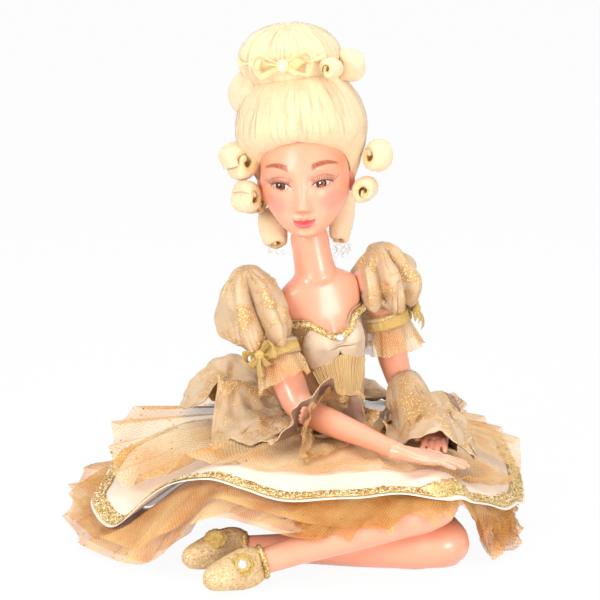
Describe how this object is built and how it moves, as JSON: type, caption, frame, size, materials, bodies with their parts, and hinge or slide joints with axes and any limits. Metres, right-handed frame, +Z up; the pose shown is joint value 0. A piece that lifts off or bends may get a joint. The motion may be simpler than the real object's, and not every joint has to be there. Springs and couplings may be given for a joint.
{
  "type": "sitting lady doll",
  "caption": "Seated lady doll in court dress with a turning head, lifting arms, powdered wig with rolled curls, puff sleeves and layered skirts spread over folded legs.",
  "frame": {"origin": "middle of the flat seat face, on the surface that the doll sits on", "axes": "+X to the viewer's right when facing the doll, +Y to the doll's back, +Z up; the doll faces -Y"},
  "size_m": [0.2618, 0.2619, 0.2832],
  "materials": {
    "skin": "glossy painted resin",
    "stuffed_cotton": "plain woven cotton",
    "brocade": "beige and gold brocade",
    "satin": "ivory satin",
    "net": "gold flecked net",
    "petticoat_net": "peach net",
    "glitter": "glitter braid",
    "gold_mesh": "gold mesh ribbon",
    "wool": "combed wool",
    "ribbon": "cream satin ribbon",
    "pearl": "pearl",
    "stone": "cut stone",
    "steel": "turned"
  },
  "bodies": {
    "head": {"back_roll": "wool", "bun_curl_inner": "wool", "bun_curl_outer": "wool", "hair_bow": "ribbon", "hair_bow_pearl": "pearl", "hair_ribbon": "ribbon", "head": "skin", "left_curl_lower": "wool", "left_curl_upper": "wool", "left_ringlet": "wool", "right_curl_lower": "wool", "right_curl_middle": "wool", "right_curl_upper": "wool", "right_ringlet": "wool", "wig_bun": "wool", "wig_front_roll": "wool"},
    "body": {"bodice": "brocade", "bodice_pleats": "gold_mesh", "breastplate": "skin", "cloth_body": "stuffed_cotton", "drape_back": "brocade", "drape_right": "brocade", "hem_trim": "glitter", "left_leg": "skin", "left_shoe": "brocade", "left_shoe_rosette": "glitter", "left_shoulder_pin": "steel", "neckline_stone": "stone", "neckline_trim": "glitter", "net_overskirt": "net", "petticoat": "petticoat_net", "petticoat_flounce": "petticoat_net", "right_leg": "skin", "right_shoe": "brocade", "right_shoe_rosette": "glitter", "right_shoe_stone": "stone", "right_shoulder_pin": "steel", "satin_skirt": "satin"},
    "arm_left": {"left_arm": "skin", "left_elbow_flounce": "brocade", "left_elbow_ruffle": "net", "left_sleeve": "brocade", "left_sleeve_band": "gold_mesh", "left_sleeve_bow": "gold_mesh", "left_sleeve_frill": "net"},
    "arm_right": {"right_arm": "skin", "right_elbow_flounce": "brocade", "right_elbow_ruffle": "net", "right_sleeve": "brocade", "right_sleeve_band": "gold_mesh", "right_sleeve_bow": "gold_mesh", "right_sleeve_frill": "net"}
  },
  "joints": [
    {"name": "head_turn", "type": "hinge", "parent": "body", "child": "head", "pos_m": [-0.01906, 0, 0.15942], "axis": [-0.1736, 0, 0.9848], "range_deg": [-12, 32]},
    {"name": "arm_right_lift", "type": "hinge", "parent": "body", "child": "arm_right", "pos_m": [-0.04335, -0.01077, 0.12671], "axis": [-0.9254, -0.342, -0.1632], "range_deg": [0, 35]},
    {"name": "arm_left_lift", "type": "hinge", "parent": "body", "child": "arm_left", "pos_m": [0.01495, 0.01077, 0.13698], "axis": [-0.9254, -0.342, -0.1632], "range_deg": [0, 35]}
  ]
}
